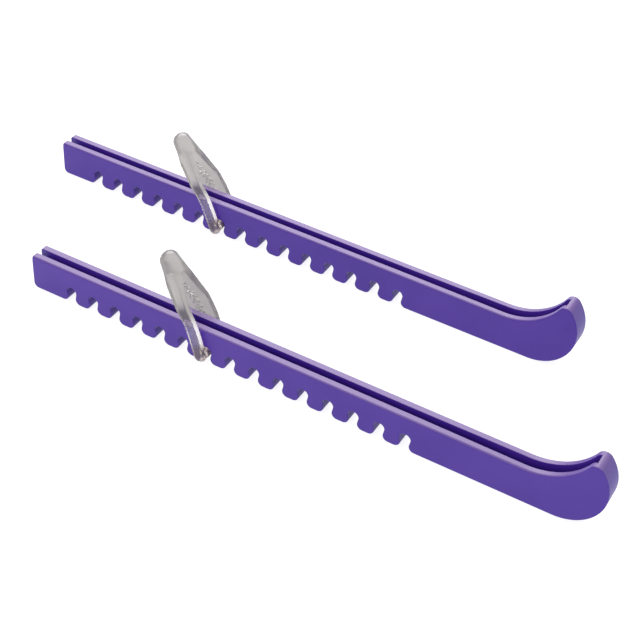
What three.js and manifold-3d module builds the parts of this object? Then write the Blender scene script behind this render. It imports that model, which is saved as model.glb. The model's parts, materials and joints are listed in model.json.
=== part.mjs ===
// A pair of adjustable blade guards for figure skates.
// Each guard is a one-piece plastic channel that the skate blade drops into. Its toe curves up
// and its underside has a row of keyhole notches. A clear stretch loop hooks into one of the
// notches, passes up both sides of the guard and pulls over the tail of the blade.
//
// Millimetres. A guard's own frame has its heel end at x = 0, its centre plane at y = 0 and its
// underside at z = 0. The pair's frame has its origin at the middle of the underside, with +X
// towards the toes and +Z up.

import * as THREE from "three";
import { mergeVertices } from "three/addons/utils/BufferGeometryUtils.js";
import Module from "manifold-3d";

// ---- Driving dimensions: guard ----
const GUARD_LENGTH = 335;
const GUARD_WIDTH = 12.4;
const GUARD_HEIGHT = 21; // height of the straight stretch
const HEEL_TOP_RADIUS = 1.5;
const HEEL_BOTTOM_RADIUS = 3;

const SLOT_WIDTH = 4.2; // a 4 mm blade with room to slide
const SLOT_TOE_WIDTH = 5.7; // width where the slot ends
const SLOT_DEPTH = 8;
const SLOT_END_WALL = 9.7; // solid plastic in front of the slot

const TOE_LENGTH = 43; // from the start of the rise to the front
const TOE_RISE_RADIUS = 35.6; // hollow curve of the top edge
const TOE_NOSE_RADIUS = 24.4; // round front and underside of the toe
const TOE_TIP_RADIUS = 4;

// ---- Driving dimensions: notches ----
const NOTCH_COUNT = 15;
const NOTCH_PITCH = 14.65;
const FIRST_NOTCH = 26.1; // centre of the first notch, from the heel end
const BULB_RADIUS = 3.1;
const BULB_HEIGHT = 7; // centre of the bulb above the underside
const MOUTH_WIDTH = 5;
const TOOTH_RADIUS = 3.2;

// ---- Driving dimensions: stretch loop ----
const LOOP_NOTCH = 6; // it sits in the seventh notch
const LOOP_CLEARANCE = 0.35; // to the guard's sides and to the bulb
const LEG_THICKNESS = 3;
const LEG_WIDTH = 7;
const LEG_TAIL = 4.4; // how far a leg reaches past the bar
const TAIL_OFFSET = 3.2; // how far back its lower end is bent
const LEG_STRAIGHT = 26; // from the bar to where the legs turn inwards
const PAD_TOE_SIDE = 5.6; // the far leg is a wide pad, and reaches further back than forward
const PAD_HEEL_SIDE = 9.2;
const PAD_HEIGHT = 22; // distance from the bar to its widest part
const HOLE_LENGTH = 45; // from the bar to the top of the opening
const HOLE_TOP_WIDTH = 2;
const LOOP_LENGTH = 57.5; // from the bar to the top of the head
const HEAD_WIDTH = 8.8;
const HEAD_THICKNESS = 9;

// ---- Driving dimensions: how the pair stands ----
const PAIR_SPACING = 97.8;
const FRONT_GUARD_AHEAD = 55.7;
const REAR_LOOP_LEAN = THREE.MathUtils.degToRad(35);
const FRONT_LOOP_LEAN = THREE.MathUtils.degToRad(30);

// ---- Sizes that follow from them ----
const TOE_RISE_START = GUARD_LENGTH - TOE_LENGTH;
const SLOT_END = GUARD_LENGTH - SLOT_END_WALL;
const LAST_NOTCH = FIRST_NOTCH + (NOTCH_COUNT - 1) * NOTCH_PITCH;
const BAR_RADIUS = BULB_RADIUS - LOOP_CLEARANCE;
const LEG_INSIDE = GUARD_WIDTH / 2 + LOOP_CLEARANCE;
const LEG_OUTSIDE = LEG_INSIDE + LEG_THICKNESS;

// ---- Materials ----
const guardPlastic = new THREE.MeshStandardMaterial({ color: 0x5c47a0, roughness: 0.5 });
const clearUrethane = new THREE.MeshStandardMaterial({
  color: 0xd8d4cf,
  roughness: 0.2,
  transparent: true,
  opacity: 0.6,
});

const wasm = await Module();
wasm.setup();
const { PI } = Math;

// ---- Outlines and solids ----

// Points along an arc, from one angle to another, both ends included.
function arc(cx, cy, radius, from, to, steps) {
  const points = [];
  for (let i = 0; i <= steps; i++) {
    const a = from + ((to - from) * i) / steps;
    points.push(new THREE.Vector2(cx + radius * Math.cos(a), cy + radius * Math.sin(a)));
  }
  return points;
}

function point(x, y) {
  return new THREE.Vector2(x, y);
}

// A closed three.js geometry as a manifold-3d solid.
function solid(geometry) {
  geometry.deleteAttribute("normal");
  geometry.deleteAttribute("uv");
  const merged = mergeVertices(geometry, 1e-4);
  const mesh = new wasm.Mesh({
    numProp: 3,
    vertProperties: merged.attributes.position.array,
    triVerts: new Uint32Array(merged.index.array),
  });
  return new wasm.Manifold(mesh);
}

// An outline drawn in x and z, extruded across y.
function acrossY(points, fromY, toY) {
  const shape = new THREE.Shape(points);
  const geometry = new THREE.ExtrudeGeometry(shape, { depth: toY - fromY, bevelEnabled: false });
  return solid(geometry.rotateX(PI / 2).translate(0, toY, 0));
}

// An outline drawn in y and z, extruded along x.
function alongX(points, fromX, toX) {
  const shape = new THREE.Shape(points);
  const geometry = new THREE.ExtrudeGeometry(shape, { depth: toX - fromX, bevelEnabled: false });
  const basis = new THREE.Matrix4().makeBasis(
    new THREE.Vector3(0, 1, 0),
    new THREE.Vector3(0, 0, 1),
    new THREE.Vector3(1, 0, 0),
  );
  return solid(geometry.applyMatrix4(basis).translate(fromX, 0, 0));
}

// An outline drawn in x and y, extruded up z.
function upZ(points, fromZ, toZ) {
  const shape = new THREE.Shape(points);
  const geometry = new THREE.ExtrudeGeometry(shape, { depth: toZ - fromZ, bevelEnabled: false });
  return solid(geometry.translate(0, 0, fromZ));
}

function meshOf(name, manifold, material) {
  const mesh = manifold.getMesh();
  const geometry = new THREE.BufferGeometry();
  geometry.setAttribute("position", new THREE.BufferAttribute(mesh.vertProperties, 3));
  geometry.setIndex(new THREE.BufferAttribute(mesh.triVerts, 1));
  geometry.computeVertexNormals();
  const result = new THREE.Mesh(geometry, material);
  result.name = name;
  return result;
}

// ---- Guard ----

// One keyhole notch, from the tooth before it to the tooth after it. The round bulb and the round
// tooth corners are joined by the straight line that touches both.
function notchOutline(x) {
  const toothX = MOUTH_WIDTH / 2 + TOOTH_RADIUS;
  const drop = BULB_HEIGHT - TOOTH_RADIUS;
  const apart = Math.hypot(toothX, drop);
  const touch = Math.acos((BULB_RADIUS + TOOTH_RADIUS) / apart) - Math.atan2(drop, toothX);
  return [
    ...arc(x - toothX, TOOTH_RADIUS, TOOTH_RADIUS, -PI / 2, -touch, 5),
    ...arc(x, BULB_HEIGHT, BULB_RADIUS, PI - touch, touch, 12),
    ...arc(x + toothX, TOOTH_RADIUS, TOOTH_RADIUS, PI + touch, (3 * PI) / 2, 5),
  ];
}

// The right-hand centre of the circle that lies at distance `fromA` from `a` and `fromB` from `b`.
function touchingBoth(a, fromA, b, fromB) {
  const apart = a.distanceTo(b);
  const along = (apart * apart + fromA * fromA - fromB * fromB) / (2 * apart);
  const aside = Math.sqrt(fromA * fromA - along * along);
  const direction = b.clone().sub(a).divideScalar(apart);
  const across = point(-direction.y, direction.x);
  return a.clone().addScaledVector(direction, along).addScaledVector(across, aside);
}

// The guard seen from the side: notched underside, turned-up toe, straight top, square heel.
function guardOutline() {
  const rise = point(TOE_RISE_START, GUARD_HEIGHT + TOE_RISE_RADIUS);
  const nose = point(GUARD_LENGTH - TOE_NOSE_RADIUS, TOE_NOSE_RADIUS);
  const tip = touchingBoth(rise, TOE_RISE_RADIUS + TOE_TIP_RADIUS, nose, TOE_NOSE_RADIUS - TOE_TIP_RADIUS);
  const noseEnd = tip.clone().sub(nose).angle();
  const riseEnd = tip.clone().sub(rise).angle() - 2 * PI;
  const outline = arc(HEEL_BOTTOM_RADIUS, HEEL_BOTTOM_RADIUS, HEEL_BOTTOM_RADIUS, PI, 1.5 * PI, 5);
  for (let i = 0; i < NOTCH_COUNT; i++) outline.push(...notchOutline(FIRST_NOTCH + i * NOTCH_PITCH));
  outline.push(
    ...arc(nose.x, nose.y, TOE_NOSE_RADIUS, -PI / 2, noseEnd, 20),
    ...arc(tip.x, tip.y, TOE_TIP_RADIUS, noseEnd, PI + riseEnd, 10).slice(1),
    ...arc(rise.x, rise.y, TOE_RISE_RADIUS, riseEnd, -PI / 2, 14).slice(1),
    ...arc(HEEL_TOP_RADIUS, GUARD_HEIGHT - HEEL_TOP_RADIUS, HEEL_TOP_RADIUS, PI / 2, PI, 4),
  );
  return outline;
}

// The slot for the blade: open at the heel, following the rise of the toe at an even depth, and
// widening from the last notch to its square end.
function slotCut() {
  const past = 5;
  const floorZ = GUARD_HEIGHT - SLOT_DEPTH;
  const floorRadius = TOE_RISE_RADIUS + SLOT_DEPTH;
  const endAngle = Math.asin((SLOT_END - TOE_RISE_START) / floorRadius) - PI / 2;
  const high = GUARD_HEIGHT + TOE_RISE_RADIUS;
  const side = acrossY(
    [
      point(-past, high),
      point(-past, floorZ),
      ...arc(TOE_RISE_START, high, floorRadius, -PI / 2, endAngle, 10),
      point(SLOT_END, high),
    ],
    -GUARD_WIDTH,
    GUARD_WIDTH,
  );
  const plan = upZ(
    [
      point(-past, -SLOT_WIDTH / 2),
      point(LAST_NOTCH, -SLOT_WIDTH / 2),
      point(SLOT_END, -SLOT_TOE_WIDTH / 2),
      point(SLOT_END, SLOT_TOE_WIDTH / 2),
      point(LAST_NOTCH, SLOT_WIDTH / 2),
      point(-past, SLOT_WIDTH / 2),
    ],
    0,
    high,
  );
  return side.intersect(plan);
}

function guard(name) {
  const body = acrossY(guardOutline(), -GUARD_WIDTH / 2, GUARD_WIDTH / 2);
  return meshOf(name, body.subtract(slotCut()), guardPlastic);
}

// ---- Stretch loop, drawn upright with its bar along y at the origin ----

// The two legs and the head seen along x, without the bar.
function loopOutline() {
  const shoulder = LOOP_LENGTH - HEAD_THICKNESS / 2;
  const holeTop = HOLE_TOP_WIDTH / 2;
  return [
    point(LEG_INSIDE, -LEG_TAIL),
    point(LEG_OUTSIDE - 1, -LEG_TAIL),
    point(LEG_OUTSIDE, 1 - LEG_TAIL),
    point(LEG_OUTSIDE, LEG_STRAIGHT),
    ...arc(0, shoulder, HEAD_THICKNESS / 2, 0, PI, 12),
    point(-LEG_OUTSIDE, LEG_STRAIGHT),
    point(-LEG_OUTSIDE, 1 - LEG_TAIL),
    point(1 - LEG_OUTSIDE, -LEG_TAIL),
    point(-LEG_INSIDE, -LEG_TAIL),
    point(-LEG_INSIDE, LEG_STRAIGHT),
    ...arc(0, HOLE_LENGTH - holeTop, holeTop, PI, 0, 6),
    point(LEG_INSIDE, LEG_STRAIGHT),
  ];
}

// A leg seen along y: a rounded lower end bent back past the bar, the widest part, and the head's
// rounded top. Each section is a height, the middle of the leg there, and half its width.
function legOutline(toeSide, heelSide) {
  const half = LEG_WIDTH / 2;
  const headHalf = HEAD_WIDTH / 2;
  const headZ = LOOP_LENGTH - headHalf;
  const tailZ = half - LEG_TAIL;
  const middle = (toeSide - heelSide) / 2;
  const widest = (toeSide + heelSide) / 2;
  const sections = [
    [tailZ, -TAIL_OFFSET, half],
    [PAD_HEIGHT / 2, -TAIL_OFFSET / 4, (half + widest) / 2],
    [PAD_HEIGHT, middle, widest],
    [(PAD_HEIGHT + HOLE_LENGTH) / 2, middle / 2, (widest + headHalf) / 2],
    [HOLE_LENGTH, 0, headHalf],
    [headZ, 0, headHalf],
  ];
  const edge = (side) => {
    const through = sections.map(([z, middle, width]) => point(middle + side * width, z));
    return new THREE.SplineCurve(through).getPoints(16).slice(1, -1);
  };
  return [
    ...arc(-TAIL_OFFSET, tailZ, half, -PI, 0, 8),
    ...edge(1),
    ...arc(0, headZ, headHalf, 0, PI, 10),
    ...edge(-1).reverse(),
  ];
}

function stretchLoop(name) {
  const reach = LEG_OUTSIDE + 1;
  const ring = alongX(loopOutline(), -PAD_HEEL_SIDE - 1, PAD_HEEL_SIDE + 1);
  const nearLeg = acrossY(legOutline(LEG_WIDTH / 2, LEG_WIDTH / 2), -reach, 0.1);
  const farLeg = acrossY(legOutline(PAD_TOE_SIDE, PAD_HEEL_SIDE), 0, reach);
  const barEnd = LEG_INSIDE + LEG_THICKNESS / 2;
  const bar = acrossY(arc(0, 0, BAR_RADIUS, 0, 2 * PI, 20).slice(1), -barEnd, barEnd);
  return meshOf(name, ring.intersect(nearLeg.add(farLeg)).add(bar), clearUrethane);
}

// ---- Assembly ----

// One guard with its loop hooked into a notch and leaning back towards the heel.
function guardWithLoop(side, lean) {
  const group = new THREE.Group();
  const loop = stretchLoop(side + "_strap");
  loop.position.set(FIRST_NOTCH + LOOP_NOTCH * NOTCH_PITCH, 0, BULB_HEIGHT);
  loop.rotation.y = -lean;
  group.add(guard(side + "_guard"), loop);
  return group;
}

const rear = guardWithLoop("rear", REAR_LOOP_LEAN);
const front = guardWithLoop("front", FRONT_LOOP_LEAN);
front.position.set(FRONT_GUARD_AHEAD, -PAIR_SPACING, 0);

const pair = new THREE.Group();
pair.name = "blade_guard_pair";
pair.add(rear, front);
pair.updateMatrixWorld(true);

// The origin goes to the middle of the pair's underside.
const middle = new THREE.Box3().setFromObject(pair, true).getCenter(new THREE.Vector3());
for (const side of [rear, front]) {
  side.position.x -= middle.x;
  side.position.y -= middle.y;
}

export default pair;
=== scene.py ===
# %% [markdown]
# Blade guards for figure skates, as a lesson in cells.
# A pair of long plastic channels stands on a pale floor. Each has a clear rubbery strap hooked
# through one of the notches along its underside. The measured model is loaded first and stays
# fixed; the finer pieces made here stand exactly where its parts stand.

# %% Start from the measured model
import json
import math

import bmesh
import bpy
from mathutils import Matrix, Vector

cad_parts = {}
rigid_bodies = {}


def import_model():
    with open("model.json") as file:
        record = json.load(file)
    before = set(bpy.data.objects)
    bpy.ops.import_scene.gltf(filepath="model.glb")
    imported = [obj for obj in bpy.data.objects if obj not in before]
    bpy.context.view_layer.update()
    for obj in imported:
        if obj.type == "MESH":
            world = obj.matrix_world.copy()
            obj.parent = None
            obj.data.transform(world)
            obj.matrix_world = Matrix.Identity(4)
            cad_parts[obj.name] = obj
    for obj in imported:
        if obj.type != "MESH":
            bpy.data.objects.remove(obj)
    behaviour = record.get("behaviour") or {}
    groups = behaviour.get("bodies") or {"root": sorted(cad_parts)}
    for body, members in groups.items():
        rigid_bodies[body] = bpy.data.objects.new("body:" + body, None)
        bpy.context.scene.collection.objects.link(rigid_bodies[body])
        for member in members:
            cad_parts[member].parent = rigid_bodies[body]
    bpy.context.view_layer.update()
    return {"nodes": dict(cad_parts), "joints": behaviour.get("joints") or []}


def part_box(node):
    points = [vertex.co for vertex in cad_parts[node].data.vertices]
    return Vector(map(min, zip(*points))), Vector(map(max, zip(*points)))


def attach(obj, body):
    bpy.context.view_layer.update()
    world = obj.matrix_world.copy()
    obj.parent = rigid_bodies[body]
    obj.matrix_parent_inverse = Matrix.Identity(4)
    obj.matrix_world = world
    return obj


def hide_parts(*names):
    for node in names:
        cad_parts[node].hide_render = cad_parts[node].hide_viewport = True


for leftover in list(bpy.data.objects):
    bpy.data.objects.remove(leftover)
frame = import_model()
MM = 0.001
print("parts loaded:", sorted(frame["nodes"]))

# %% [markdown]
# Everything is worked out in millimetres in the guard's own space: the heel end at x = 0, the
# middle of its width at y = 0 and the floor at z = 0. One shift then puts a guard in its place,
# and the shift comes from the loaded part, so nothing is placed by eye.

# %% The sizes of one guard
GUARD_LENGTH = 335.0
GUARD_WIDTH = 12.4
GUARD_HEIGHT = 21.0
HEEL_TOP_RADIUS = 1.5
HEEL_BOTTOM_RADIUS = 3.0
SLOT_WIDTH = 4.2
SLOT_TOE_WIDTH = 5.7
SLOT_DEPTH = 8.0
SLOT_END = GUARD_LENGTH - 9.7
TOE_RISE_START = GUARD_LENGTH - 43.0
TOE_RISE_RADIUS = 35.6
TOE_NOSE_RADIUS = 24.4
TOE_TIP_RADIUS = 4.0
NOTCH_COUNT = 15
NOTCH_PITCH = 14.65
FIRST_NOTCH = 26.1
BULB_RADIUS = 3.1
BULB_HEIGHT = 7.0
MOUTH_WIDTH = 5.0
TOOTH_RADIUS = 3.2
LAST_NOTCH = FIRST_NOTCH + (NOTCH_COUNT - 1) * NOTCH_PITCH


def guard_origin(side):
    low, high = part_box(side + "_guard")
    return Vector((low.x, (low.y + high.y) / 2, low.z))


for side in ("rear", "front"):
    print(side, "guard starts at", [round(v, 4) for v in guard_origin(side)])

# %% [markdown]
# The camera comes before the modelling, because it decides which details will be seen. A long
# lens from high on the toe side keeps the two guards nearly the same size, and looks down into
# both slots. Its three axes are written as a matrix, so that no tracking constraint is needed.

# %% Camera
EYE = Vector((474.8, -560.9, 493.0)) * MM
LOOK = Vector((-0.3553, 0.6783, -0.6432)).normalized()
RIGHT = Vector((0.8631, 0.5023, 0.0529))
RIGHT = (RIGHT - RIGHT.dot(LOOK) * LOOK).normalized()
LENS_PER_SENSOR = 1400 / 640


def make_camera():
    data = bpy.data.cameras.new("camera")
    data.sensor_width = 36.0
    data.lens = LENS_PER_SENSOR * data.sensor_width
    data.clip_start = 0.01
    camera = bpy.data.objects.new("camera", data)
    up = (-LOOK).cross(RIGHT)
    axes = Matrix((RIGHT, up, -LOOK)).transposed().to_4x4()
    camera.matrix_world = Matrix.Translation(guard_origin("rear") + EYE) @ axes
    bpy.context.scene.collection.objects.link(camera)
    bpy.context.scene.camera = camera
    return camera


camera = make_camera()
eye_height = camera.matrix_world.translation.z
print("lens:", round(camera.data.lens, 1), "mm, height:", round(eye_height, 3), "m")

# %% [markdown]
# A guard is moulded in one piece, and its side view says almost everything about it: a straight
# top, a toe that curls up, and a row of keyhole notches along the underside. So it starts as one
# flat outline. Arcs are sampled finely here, because the rounded edges later follow every point.

# %% Outline helpers
def arc(cx, cz, radius, start, end, steps):
    points = []
    for i in range(steps + 1):
        angle = start + (end - start) * i / steps
        points.append((cx + radius * math.cos(angle), cz + radius * math.sin(angle)))
    return points


def touching_both(a, from_a, b, from_b):
    # the right-hand centre of the circle at known distances from two other centres
    apart = math.dist(a, b)
    along = (apart**2 + from_a**2 - from_b**2) / (2 * apart)
    aside = math.sqrt(from_a**2 - along**2)
    dx, dz = (b[0] - a[0]) / apart, (b[1] - a[1]) / apart
    return a[0] + dx * along - dz * aside, a[1] + dz * along + dx * aside


# %% One keyhole notch
def notch_outline(x):
    tooth_x = MOUTH_WIDTH / 2 + TOOTH_RADIUS
    drop = BULB_HEIGHT - TOOTH_RADIUS
    apart = math.hypot(tooth_x, drop)
    touch = math.acos((BULB_RADIUS + TOOTH_RADIUS) / apart) - math.atan2(drop, tooth_x)
    left = arc(x - tooth_x, TOOTH_RADIUS, TOOTH_RADIUS, -math.pi / 2, -touch, 8)
    bulb = arc(x, BULB_HEIGHT, BULB_RADIUS, math.pi - touch, touch, 24)
    right = arc(x + tooth_x, TOOTH_RADIUS, TOOTH_RADIUS, math.pi + touch, 1.5 * math.pi, 8)
    return left + bulb + right


# %% The whole side view
def guard_outline():
    rise = (TOE_RISE_START, GUARD_HEIGHT + TOE_RISE_RADIUS)
    nose = (GUARD_LENGTH - TOE_NOSE_RADIUS, TOE_NOSE_RADIUS)
    tip = touching_both(
        rise, TOE_RISE_RADIUS + TOE_TIP_RADIUS, nose, TOE_NOSE_RADIUS - TOE_TIP_RADIUS
    )
    nose_end = math.atan2(tip[1] - nose[1], tip[0] - nose[0])
    rise_end = math.atan2(tip[1] - rise[1], tip[0] - rise[0])
    heel_z = GUARD_HEIGHT - HEEL_TOP_RADIUS
    low = HEEL_BOTTOM_RADIUS
    outline = arc(low, low, low, math.pi, 1.5 * math.pi, 8)
    for i in range(NOTCH_COUNT):
        outline += notch_outline(FIRST_NOTCH + i * NOTCH_PITCH)
    outline += arc(*nose, TOE_NOSE_RADIUS, -math.pi / 2, nose_end, 56)
    outline += arc(*tip, TOE_TIP_RADIUS, nose_end, math.pi + rise_end, 24)[1:]
    outline += arc(*rise, TOE_RISE_RADIUS, rise_end, -math.pi / 2, 40)[1:]
    outline += arc(HEEL_TOP_RADIUS, heel_z, HEEL_TOP_RADIUS, math.pi / 2, math.pi, 8)
    return outline


outline = guard_outline()
print("outline:", len(outline), "points, tip at", round(max(z for _, z in outline), 2), "mm")

# %% [markdown]
# The outline becomes a solid by giving it a width, and the slot for the blade is cut out of it.
# The cutter is a chain of four-cornered sections, because its floor follows the curl of the toe
# and its width grows a little towards the end. A Boolean with the exact solver joins the two
# cleanly, as the shapes have flat faces that meet at sharp edges.

# %% Meshes from outlines and sections
def new_object(name, bm):
    mesh = bpy.data.meshes.new(name)
    bmesh.ops.recalc_face_normals(bm, faces=bm.faces)
    bm.to_mesh(mesh)
    bm.free()
    made = bpy.data.objects.new(name, mesh)
    bpy.context.scene.collection.objects.link(made)
    return made


def slab(name, points, width):
    bm = bmesh.new()
    near = [bm.verts.new((x * MM, -width / 2 * MM, z * MM)) for x, z in points]
    far = [bm.verts.new((x * MM, width / 2 * MM, z * MM)) for x, z in points]
    bm.faces.new(near)
    bm.faces.new(far[::-1])
    for i in range(len(points)):
        j = (i + 1) % len(points)
        bm.faces.new((near[i], far[i], far[j], near[j]))
    return new_object(name, bm)


# %% The slot's cutter
def slot_sections():
    high = GUARD_HEIGHT + TOE_RISE_RADIUS
    floor_radius = TOE_RISE_RADIUS + SLOT_DEPTH
    steps = 24
    stops = [-5.0, LAST_NOTCH, TOE_RISE_START]
    stops += [TOE_RISE_START + (SLOT_END - TOE_RISE_START) * i / steps for i in range(1, steps + 1)]
    for x in stops:
        widening = max(0.0, (x - LAST_NOTCH) / (SLOT_END - LAST_NOTCH))
        half = (SLOT_WIDTH + (SLOT_TOE_WIDTH - SLOT_WIDTH) * widening) / 2
        past = max(0.0, x - TOE_RISE_START)
        floor = high - math.sqrt(floor_radius**2 - past**2)
        yield [(x, -half, floor), (x, half, floor), (x, half, high), (x, -half, high)]


def slot_cutter():
    bm = bmesh.new()
    rings = [[bm.verts.new(Vector(p) * MM) for p in section] for section in slot_sections()]
    bm.faces.new(rings[0])
    bm.faces.new(rings[-1][::-1])
    for a, b in zip(rings, rings[1:]):
        for i in range(4):
            j = (i + 1) % 4
            bm.faces.new((a[i], a[j], b[j], b[i]))
    return new_object("slot_cutter", bm)


# %% Modifiers, applied at once
def apply_modifier(made, kind, **settings):
    modifier = made.modifiers.new(kind.lower(), kind)
    for key, value in settings.items():
        setattr(modifier, key, value)
    depsgraph = bpy.context.evaluated_depsgraph_get()
    result = bpy.data.meshes.new_from_object(made.evaluated_get(depsgraph))
    made.modifiers.clear()
    old = made.data
    made.data = result
    bpy.data.meshes.remove(old)
    return made


# %% [markdown]
# No moulded edge is perfectly sharp, and a rounded one catches the light. The outer top edges
# have the widest rounding, where a hand holds the guard; the notches and the underside are
# crisper, and the slot's lips are the crispest. A Bevel modifier reads a weight on each edge, so
# one modifier does all three.

# %% How much each edge is rounded
WIDEST_ROUNDING = 1.15
CRISP_ROUNDING = 0.5
LIP_ROUNDING = 0.3
TOE_FADE_END = GUARD_LENGTH - 9.0
TOE_FADE_LENGTH = 14.0


def rounding_of(a, b):
    outer = GUARD_WIDTH / 2 - 0.01
    on_side = abs(a.y) > outer * MM and abs(b.y) > outer * MM
    middle = (a + b) / 2 / MM
    high_enough = middle.z > GUARD_HEIGHT - HEEL_TOP_RADIUS - 0.1
    if not on_side:
        by_the_slot = abs(middle.y) < SLOT_TOE_WIDTH / 2 + 0.1
        return LIP_ROUNDING if by_the_slot else CRISP_ROUNDING
    behind_tip = middle.x < TOE_FADE_END and high_enough
    facing_up = middle.x < TOE_RISE_START or middle.z > GUARD_HEIGHT
    if behind_tip and facing_up:
        fade = min(1.0, max(0.0, (TOE_FADE_END - middle.x) / TOE_FADE_LENGTH))
        return CRISP_ROUNDING + (WIDEST_ROUNDING - CRISP_ROUNDING) * fade
    return CRISP_ROUNDING


def weigh_edges(made):
    bm = bmesh.new()
    bm.from_mesh(made.data)
    bmesh.ops.remove_doubles(bm, verts=bm.verts, dist=1e-7)
    layer = bm.edges.layers.float.new("bevel_weight_edge")
    sharp = 0
    for edge in bm.edges:
        if len(edge.link_faces) == 2 and edge.calc_face_angle() > math.radians(40):
            edge[layer] = rounding_of(edge.verts[0].co, edge.verts[1].co) / WIDEST_ROUNDING
            sharp += 1
    bm.to_mesh(made.data)
    bm.free()
    return sharp


# %% Build one guard
def make_guard(side):
    shell = slab(side + "_guard_shell", outline, GUARD_WIDTH)
    cutter = slot_cutter()
    apply_modifier(shell, "BOOLEAN", operation="DIFFERENCE", object=cutter, solver="EXACT")
    bpy.data.objects.remove(cutter)
    sharp = weigh_edges(shell)
    shell.data.shade_smooth()
    apply_modifier(
        shell, "BEVEL", limit_method="WEIGHT", width=WIDEST_ROUNDING * MM, segments=4,
        harden_normals=True, use_clamp_overlap=False, miter_outer="MITER_SHARP",
    )
    shell.data.transform(Matrix.Translation(guard_origin(side)))
    print(shell.name, "rounded", sharp, "edges,", len(shell.data.polygons), "faces")
    return shell


guards = {side: make_guard(side) for side in ("rear", "front")}

# %% [markdown]
# The strap is soft clear rubber, cast as one closed loop: a bar that lies in a notch, a slim leg
# up the near side, a wide leaf-shaped pull tab up the far side, and a thick rounded head. Its
# measured solid already has the right form but hard edges. A voxel Remesh turns the solid into
# an even skin of small quads, and smoothing that skin rounds every edge the way a casting is.

# %% Strap space
STRAP_VOXEL = 0.3
STRAP_SMOOTHING = 26
LEANS = {"rear": math.radians(35), "front": math.radians(30)}


def strap_space(side):
    # from the strap's own upright space, bar along y at the origin, to its place on the guard
    joint = next(j for j in frame["joints"] if j["child"] == side + "_strap")
    return Matrix.Translation(joint["pos_m"]) @ Matrix.Rotation(-LEANS[side], 4, "Y")


# %% [markdown]
# The pull tab carries a moulded pattern for grip on its inner face. It is made of small chevrons
# with a dot between them, sunk into the skin by moving its points, so it is real geometry. It is
# sunk, not raised, because that face passes close to the guard's side. The material later darkens
# the sunk marks, as painted shade in the grooves.

# %% Grip pattern
RELIEF_DEPTH = 0.7
RELIEF_PITCH = 3.3
RELIEF_FIRST = 11.0
RELIEF_ROWS = 9
CHEVRON_LEFT, CHEVRON_POINT, CHEVRON_RIGHT = -5.4, -3.3, -1.2
CHEVRON_STROKE = 0.5
DOT_STROKE = 0.55


def stroke(px, pz, ax, az, bx, bz, half_width):
    # 1 on a line from a to b, falling smoothly to 0 at half_width from it
    dx, dz = bx - ax, bz - az
    t = max(0.0, min(1.0, ((px - ax) * dx + (pz - az) * dz) / (dx * dx + dz * dz)))
    away = math.hypot(px - ax - t * dx, pz - az - t * dz)
    return max(0.0, min(1.0, (half_width - away) / (0.5 * half_width)))


def relief(x, z):
    best = 0.0
    row = round((z - RELIEF_FIRST) / RELIEF_PITCH)
    for i in (row - 1, row, row + 1):
        if 0 <= i < RELIEF_ROWS:
            mid = RELIEF_FIRST + i * RELIEF_PITCH
            tip, foot = (CHEVRON_POINT, mid + 0.8), mid - 1.0
            left = stroke(x, z, CHEVRON_LEFT, foot, *tip, CHEVRON_STROKE)
            right = stroke(x, z, *tip, CHEVRON_RIGHT, foot, CHEVRON_STROKE)
            dot = stroke(x, z, CHEVRON_POINT, mid - 1.3, CHEVRON_POINT, mid - 1.2, DOT_STROKE)
            best = max(best, left, right, dot)
    return best


# %% [markdown]
# The head of the loop is solid, and round in every section. Its points are moved from a
# rectangle to the ellipse inside it, section by section, and more fully the higher they lie. It
# also swells a little across the strap, because soft rubber is thickest where its legs meet.

# %% Round the head
LEG_OUTSIDE = 9.55
LEG_STRAIGHT = 26.0
LOOP_LENGTH = 57.5
SHOULDER = 53.0
HALF_HEAD_WIDTH = 4.4
HALF_HEAD_THICKNESS = 4.5
HEAD_SWELL = 0.3
NEAR_ROUNDING = (38.0, 12.0)
FAR_ROUNDING = (36.0, 21.0)


def head_section(z):
    # half the width and half the thickness of the strap at a height
    if z > SHOULDER:
        drop = ((z - SHOULDER) / HALF_HEAD_THICKNESS) ** 2
        half_thick = HALF_HEAD_THICKNESS * math.sqrt(max(0.001, 1 - drop))
    else:
        t = (z - LEG_STRAIGHT) / (SHOULDER - LEG_STRAIGHT)
        half_thick = LEG_OUTSIDE + (HALF_HEAD_THICKNESS - LEG_OUTSIDE) * t
    past = max(0.0, z - (LOOP_LENGTH - HALF_HEAD_WIDTH))
    return math.sqrt(max(0.01, HALF_HEAD_WIDTH**2 - past**2)), half_thick


def round_head(mesh):
    for vertex in mesh.vertices:
        x, y, z = vertex.co / MM
        # each side: the height where rounding starts, and how far it takes to be complete
        start, reach = NEAR_ROUNDING if y < 0 else FAR_ROUNDING
        share = min(1.0, max(0.0, (z - start) / reach))
        if share == 0.0:
            continue
        share = share * share * (3 - 2 * share)
        half_width, half_thick = head_section(z)
        u, v = max(-1.0, min(1.0, x / half_width)), max(-1.0, min(1.0, y / half_thick))
        vertex.co.x += share * x * (math.sqrt(1 - v * v / 2) - 1) * MM
        vertex.co.y += share * y * (math.sqrt(1 - u * u / 2) - 1) * MM
        vertex.co.y *= 1 + HEAD_SWELL * share


# %% [markdown]
# Soft rubber does not hang quite straight. The near leg bows a little towards the toe, and the
# pull tab spreads towards the heel where it is widest.

# %% Let the legs settle
BOW_HEIGHT = 21.0
BOW_SPREAD = 9.0
NEAR_LEG_BOW = 0.9
TAB_SPREAD = 1.8


def settle_legs(mesh):
    for vertex in mesh.vertices:
        x, y, z = vertex.co / MM
        bow = math.exp(-(((z - BOW_HEIGHT) / BOW_SPREAD) ** 2))
        if y < -2.0:
            vertex.co.x += NEAR_LEG_BOW * bow * MM
        elif y > 2.0 and x < 0.0:
            vertex.co.x -= TAB_SPREAD * bow * min(1.0, -x / 8.0) * MM


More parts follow.
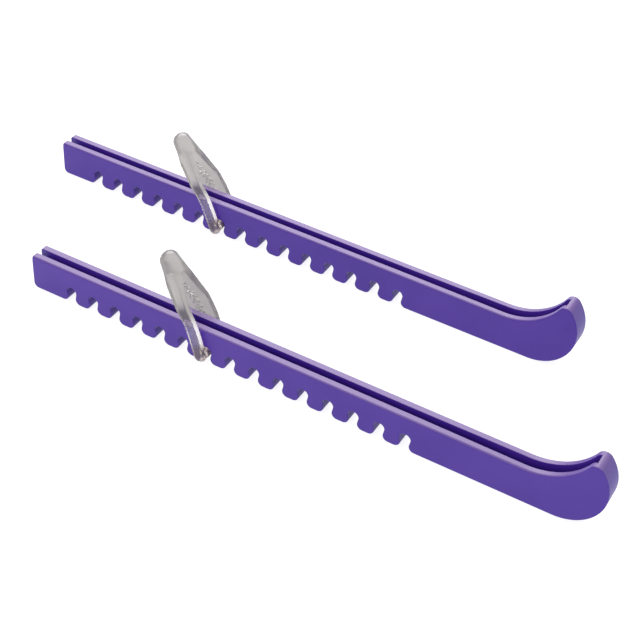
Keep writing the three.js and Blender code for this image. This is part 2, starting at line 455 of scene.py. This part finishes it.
# %% Build one strap
def make_strap(side):
    measured = frame["nodes"][side + "_strap"].data
    strap = bpy.data.objects.new(side + "_stretch_strap", measured.copy())
    bpy.context.scene.collection.objects.link(strap)
    space = strap_space(side)
    strap.data.materials.clear()
    strap.data.transform(space.inverted())
    apply_modifier(
        strap, "REMESH", mode="VOXEL", voxel_size=STRAP_VOXEL * MM, use_smooth_shade=True
    )
    round_head(strap.data)
    settle_legs(strap.data)
    apply_modifier(strap, "SMOOTH", factor=0.5, iterations=STRAP_SMOOTHING)
    sunk = 0
    grip = strap.data.attributes.new("grip", "FLOAT", "POINT")
    for vertex in strap.data.vertices:
        if vertex.co.y > 2.0 * MM and vertex.normal.y < -0.55:
            depth = relief(vertex.co.x / MM, vertex.co.z / MM)
            if depth > 0:
                grip.data[vertex.index].value = depth
                vertex.co -= vertex.normal * depth * RELIEF_DEPTH * MM
                sunk += 1
    upright = strap.data.attributes.new("upright", "FLOAT_VECTOR", "POINT")
    for vertex in strap.data.vertices:
        upright.data[vertex.index].vector = vertex.co
    strap.data.transform(space)
    print(strap.name, len(strap.data.polygons), "faces,", sunk, "points sunk for the grip")
    return strap


straps = {side: make_strap(side) for side in ("rear", "front")}

# %% [markdown]
# Moulded plastic is never one flat colour. A fine grain from the mould breaks up the shine, the
# colour drifts a little from place to place, and faces that look upwards are painted paler, a
# painted sheen that stands in for the light they reflect. Grain and drift are used by both
# materials, so each is a node group that is built once.

# %% Node helpers
def new_group(name, inputs, outputs):
    group = bpy.data.node_groups.new(name, "ShaderNodeTree")
    for label, kind, value in inputs:
        socket = group.interface.new_socket(label, in_out="INPUT", socket_type=kind)
        socket.default_value = value
    for label, kind in outputs:
        group.interface.new_socket(label, in_out="OUTPUT", socket_type=kind)
    return group, group.nodes.new("NodeGroupInput"), group.nodes.new("NodeGroupOutput")


def node(tree, kind, **settings):
    made = tree.nodes.new(kind)
    for key, value in settings.items():
        if key in made.inputs:
            made.inputs[key].default_value = value
        else:
            setattr(made, key, value)
    return made


# %% Moulded grain
def make_grain_group():
    group, given, result = new_group(
        "moulded_grain",
        [("Grain per metre", "NodeSocketFloat", 1500.0), ("Strength", "NodeSocketFloat", 0.1)],
        [("Normal", "NodeSocketVector"), ("Height", "NodeSocketFloat")],
    )
    place = node(group, "ShaderNodeTexCoord")
    fine = node(group, "ShaderNodeTexNoise", Detail=3.0, Roughness=0.6)
    bump = node(group, "ShaderNodeBump", Distance=0.0002)
    group.links.new(place.outputs["Object"], fine.inputs["Vector"])
    group.links.new(given.outputs["Grain per metre"], fine.inputs["Scale"])
    group.links.new(given.outputs["Strength"], bump.inputs["Strength"])
    group.links.new(fine.outputs["Fac"], bump.inputs["Height"])
    group.links.new(bump.outputs["Normal"], result.inputs["Normal"])
    group.links.new(fine.outputs["Fac"], result.inputs["Height"])
    return group


grain_group = make_grain_group()
print("group:", grain_group.name, [s.name for s in grain_group.interface.items_tree])

# %% Colour drift
def make_drift_group():
    group, given, result = new_group(
        "colour_drift",
        [
            ("Colour", "NodeSocketColor", (0.5, 0.5, 0.5, 1.0)),
            ("Drifted colour", "NodeSocketColor", (0.4, 0.4, 0.4, 1.0)),
            ("Patches per metre", "NodeSocketFloat", 25.0),
        ],
        [("Colour", "NodeSocketColor"), ("Mask", "NodeSocketFloat")],
    )
    place = node(group, "ShaderNodeTexCoord")
    cloud = node(group, "ShaderNodeTexNoise", Detail=4.0, Roughness=0.55)
    spread = node(group, "ShaderNodeMapRange")
    spread.inputs["From Min"].default_value = 0.35
    spread.inputs["From Max"].default_value = 0.65
    mix = node(group, "ShaderNodeMix", data_type="RGBA")
    group.links.new(place.outputs["Object"], cloud.inputs["Vector"])
    group.links.new(given.outputs["Patches per metre"], cloud.inputs["Scale"])
    group.links.new(cloud.outputs["Fac"], spread.inputs["Value"])
    group.links.new(spread.outputs["Result"], mix.inputs["Factor"])
    group.links.new(given.outputs["Colour"], mix.inputs["A"])
    group.links.new(given.outputs["Drifted colour"], mix.inputs["B"])
    group.links.new(mix.outputs["Result"], result.inputs["Colour"])
    group.links.new(spread.outputs["Result"], result.inputs["Mask"])
    return group


drift_group = make_drift_group()
print("group:", drift_group.name, [s.name for s in drift_group.interface.items_tree])

# %% [markdown]
# The faces that look upwards reflect a bright lamp above and behind, which makes them look paler.
# Here that is painted into the colour as a painted sheen. This mask is high on faces that point
# up and lie near the top.

# %% Painted sheen on upward faces
def make_sheen_group():
    # mask for a painted sheen: high on faces that point up near the top
    group, given, result = new_group(
        "painted_top_sheen",
        [("From height", "NodeSocketFloat", 0.017), ("To height", "NodeSocketFloat", 0.0205)],
        [("Mask", "NodeSocketFloat")],
    )
    shape = node(group, "ShaderNodeNewGeometry")
    place = node(group, "ShaderNodeTexCoord")
    facing = node(group, "ShaderNodeSeparateXYZ")
    where = node(group, "ShaderNodeSeparateXYZ")
    upward = node(group, "ShaderNodeMapRange")
    upward.inputs["From Min"].default_value = 0.35
    upward.inputs["From Max"].default_value = 0.95
    high = node(group, "ShaderNodeMapRange")
    both = node(group, "ShaderNodeMath", operation="MULTIPLY")
    group.links.new(shape.outputs["Normal"], facing.inputs["Vector"])
    group.links.new(place.outputs["Object"], where.inputs["Vector"])
    group.links.new(facing.outputs["Z"], upward.inputs["Value"])
    group.links.new(where.outputs["Z"], high.inputs["Value"])
    group.links.new(given.outputs["From height"], high.inputs["From Min"])
    group.links.new(given.outputs["To height"], high.inputs["From Max"])
    group.links.new(upward.outputs["Result"], both.inputs[0])
    group.links.new(high.outputs["Result"], both.inputs[1])
    group.links.new(both.outputs["Value"], result.inputs["Mask"])
    return group


sheen_group = make_sheen_group()
print("group:", sheen_group.name, [s.name for s in sheen_group.interface.items_tree])

# %% [markdown]
# The rubber looks clear where it is thin and greyer where there is much of it. Each point of the
# strap remembers where it was in the strap's own upright space, so its height and side are known:
# the lower near leg is thin, the head and the pull tab are thick, and the ends are warm and dull.

# %% Thick and thin rubber
def make_thick_group():
    group, given, result = new_group(
        "thick_rubber",
        [("Clear up to", "NodeSocketFloat", 0.015), ("Grey from", "NodeSocketFloat", 0.023)],
        [("Thick", "NodeSocketFloat"), ("End", "NodeSocketFloat")],
    )
    upright = node(group, "ShaderNodeAttribute", attribute_name="upright")
    split = node(group, "ShaderNodeSeparateXYZ")
    height = node(group, "ShaderNodeMapRange")
    across = node(group, "ShaderNodeMapRange")
    across.inputs["From Min"].default_value = 0.004
    across.inputs["From Max"].default_value = 0.006
    end = node(group, "ShaderNodeMapRange")
    end.inputs["From Min"].default_value = 0.006
    end.inputs["From Max"].default_value = 0.003
    either = node(group, "ShaderNodeMath", operation="MAXIMUM")
    group.links.new(upright.outputs["Vector"], split.inputs["Vector"])
    group.links.new(split.outputs["Z"], height.inputs["Value"])
    group.links.new(split.outputs["Z"], end.inputs["Value"])
    group.links.new(split.outputs["Y"], across.inputs["Value"])
    group.links.new(given.outputs["Clear up to"], height.inputs["From Min"])
    group.links.new(given.outputs["Grey from"], height.inputs["From Max"])
    group.links.new(height.outputs["Result"], either.inputs[0])
    group.links.new(across.outputs["Result"], either.inputs[1])
    group.links.new(either.outputs["Value"], result.inputs["Thick"])
    group.links.new(end.outputs["Result"], result.inputs["End"])
    return group


thick_group = make_thick_group()
print("group:", thick_group.name, [s.name for s in thick_group.interface.items_tree])

# %% Use a group in a material
def place_group(tree, group, **values):
    made = tree.nodes.new("ShaderNodeGroup")
    made.node_tree = group
    for key, value in values.items():
        made.inputs[key.replace("_", " ")].default_value = value
    return made


# %% Purple plastic
def make_purple_plastic():
    material = bpy.data.materials.new("purple_plastic")
    material.use_nodes = True
    tree = material.node_tree
    shader = tree.nodes["Principled BSDF"]
    shader.inputs["IOR"].default_value = 1.42
    drift = place_group(
        tree, drift_group, Colour=(0.062, 0.020, 0.278, 1), Drifted_colour=(0.050, 0.015, 0.250, 1)
    )
    # painted sheen: faces that point up near the top are mixed towards a paler purple that stands
    # in for reflected light
    painted_sheen = place_group(tree, sheen_group)
    pale = node(tree, "ShaderNodeMix", data_type="RGBA", B=(0.150, 0.092, 0.270, 1))
    tree.links.new(painted_sheen.outputs["Mask"], pale.inputs["Factor"])
    tree.links.new(drift.outputs["Colour"], pale.inputs["A"])
    grain = place_group(tree, grain_group, Grain_per_metre=1400.0, Strength=0.12)
    rough = node(tree, "ShaderNodeMapRange")
    rough.inputs["To Min"].default_value = 0.36
    rough.inputs["To Max"].default_value = 0.46
    tree.links.new(pale.outputs["Result"], shader.inputs["Base Color"])
    tree.links.new(grain.outputs["Height"], rough.inputs["Value"])
    tree.links.new(rough.outputs["Result"], shader.inputs["Roughness"])
    tree.links.new(grain.outputs["Normal"], shader.inputs["Normal"])
    return material


# %% Clear rubber
def make_clear_rubber():
    material = bpy.data.materials.new("clear_rubber")
    material.use_nodes = True
    tree = material.node_tree
    shader = tree.nodes["Principled BSDF"]
    shader.inputs["IOR"].default_value = 1.45
    shader.inputs["Transmission Weight"].default_value = 0.96
    drift = place_group(
        tree, drift_group, Colour=(0.45, 0.43, 0.42, 1), Drifted_colour=(0.40, 0.38, 0.37, 1),
        Patches_per_metre=40.0,
    )
    thick = place_group(tree, thick_group)
    tint = node(tree, "ShaderNodeMix", data_type="RGBA", A=(0.90, 0.87, 0.88, 1))
    warm = node(tree, "ShaderNodeMix", data_type="RGBA", B=(0.58, 0.49, 0.47, 1))
    either = node(tree, "ShaderNodeMath", operation="MAXIMUM")
    dull = node(tree, "ShaderNodeMath", operation="MULTIPLY_ADD")
    dull.inputs[1].default_value = 0.2
    tree.links.new(thick.outputs["Thick"], tint.inputs["Factor"])
    tree.links.new(drift.outputs["Colour"], tint.inputs["B"])
    tree.links.new(thick.outputs["End"], warm.inputs["Factor"])
    # painted shade: the sunk grip marks are mixed to a dark grey, shade painted into their grooves
    pattern = node(tree, "ShaderNodeAttribute", attribute_name="grip")
    painted_groove_shade = node(tree, "ShaderNodeMix", data_type="RGBA", B=(0.17, 0.16, 0.155, 1))
    tree.links.new(pattern.outputs["Fac"], painted_groove_shade.inputs["Factor"])
    tree.links.new(tint.outputs["Result"], painted_groove_shade.inputs["A"])
    tree.links.new(painted_groove_shade.outputs["Result"], warm.inputs["A"])
    tree.links.new(thick.outputs["Thick"], either.inputs[0])
    tree.links.new(thick.outputs["End"], either.inputs[1])
    tree.links.new(either.outputs["Value"], dull.inputs[0])
    grain = place_group(tree, grain_group, Grain_per_metre=500.0, Strength=0.03)
    rough = node(tree, "ShaderNodeMapRange")
    rough.inputs["To Min"].default_value = 0.07
    rough.inputs["To Max"].default_value = 0.13
    tree.links.new(warm.outputs["Result"], shader.inputs["Base Color"])
    tree.links.new(grain.outputs["Height"], rough.inputs["Value"])
    tree.links.new(rough.outputs["Result"], dull.inputs[2])
    tree.links.new(dull.outputs["Value"], shader.inputs["Roughness"])
    tree.links.new(grain.outputs["Normal"], shader.inputs["Normal"])
    clear = node(tree, "ShaderNodeBsdfTransparent", Color=(0.75, 0.74, 0.72, 1))
    path = node(tree, "ShaderNodeLightPath")
    mix = node(tree, "ShaderNodeMixShader")
    tree.links.new(path.outputs["Is Shadow Ray"], mix.inputs[0])
    tree.links.new(shader.outputs["BSDF"], mix.inputs[1])
    tree.links.new(clear.outputs["BSDF"], mix.inputs[2])
    tree.links.new(mix.outputs["Shader"], tree.nodes["Material Output"].inputs["Surface"])
    return material


purple_plastic = make_purple_plastic()
clear_rubber = make_clear_rubber()
print("materials:", purple_plastic.name, clear_rubber.name)

# %% [markdown]
# Each finer piece takes the place of one measured part, follows the same body when the straps
# swing, and says which finish it stands for.

# %% Put the pieces in place of the measured parts
for side in ("rear", "front"):
    guards[side].data.materials.append(purple_plastic)
    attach(guards[side], "guards")
    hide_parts(side + "_guard")
    straps[side].data.materials.append(clear_rubber)
    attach(straps[side], side + "_strap")
    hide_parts(side + "_strap")

# %% [markdown]
# The stage is a plain pale floor under a bright even sky. The floor glows a little, like a light
# table, so that the guards throw hardly any shadow. One large lamp hangs high behind the guards
# and lights their pale top faces more than their sides, and a weaker one fills in from the front.

# %% Floor
def make_floor():
    bm = bmesh.new()
    bmesh.ops.create_grid(bm, x_segments=1, y_segments=1, size=6.0)
    floor = new_object("floor", bm)
    floor.location.z = -0.0002
    material = bpy.data.materials.new("pale_floor")
    material.use_nodes = True
    shader = material.node_tree.nodes["Principled BSDF"]
    shader.inputs["Base Color"].default_value = (0.28, 0.28, 0.28, 1)
    shader.inputs["Roughness"].default_value = 0.9
    shader.inputs["Specular IOR Level"].default_value = 0.0
    shader.inputs["Emission Color"].default_value = (1, 1, 1, 1)
    shader.inputs["Emission Strength"].default_value = 0.84
    floor.data.materials.append(material)
    return floor


make_floor()

# %% Lights
def make_area_light(name, place, target, size, power):
    data = bpy.data.lights.new(name, "AREA")
    data.shape = "RECTANGLE"
    data.size, data.size_y = size
    data.energy = power
    lamp = bpy.data.objects.new(name, data)
    lamp.location = place
    lamp.rotation_euler = (Vector(target) - Vector(place)).to_track_quat("-Z", "Y").to_euler()
    bpy.context.scene.collection.objects.link(lamp)
    return lamp


def make_sky(strength):
    world = bpy.data.worlds.new("sky")
    world.use_nodes = True
    world.node_tree.nodes["Background"].inputs["Color"].default_value = (1, 1, 1, 1)
    world.node_tree.nodes["Background"].inputs["Strength"].default_value = strength
    bpy.context.scene.world = world


make_sky(0.85)
make_area_light("back_lamp", (-0.5, 0.95, 0.95), (0, 0, 0), (1.4, 0.8), 22)
make_area_light("front_lamp", (0.1, -1.3, 0.9), (0, 0, 0), (1.2, 0.8), 6)
bpy.context.scene.view_settings.view_transform = "Standard"
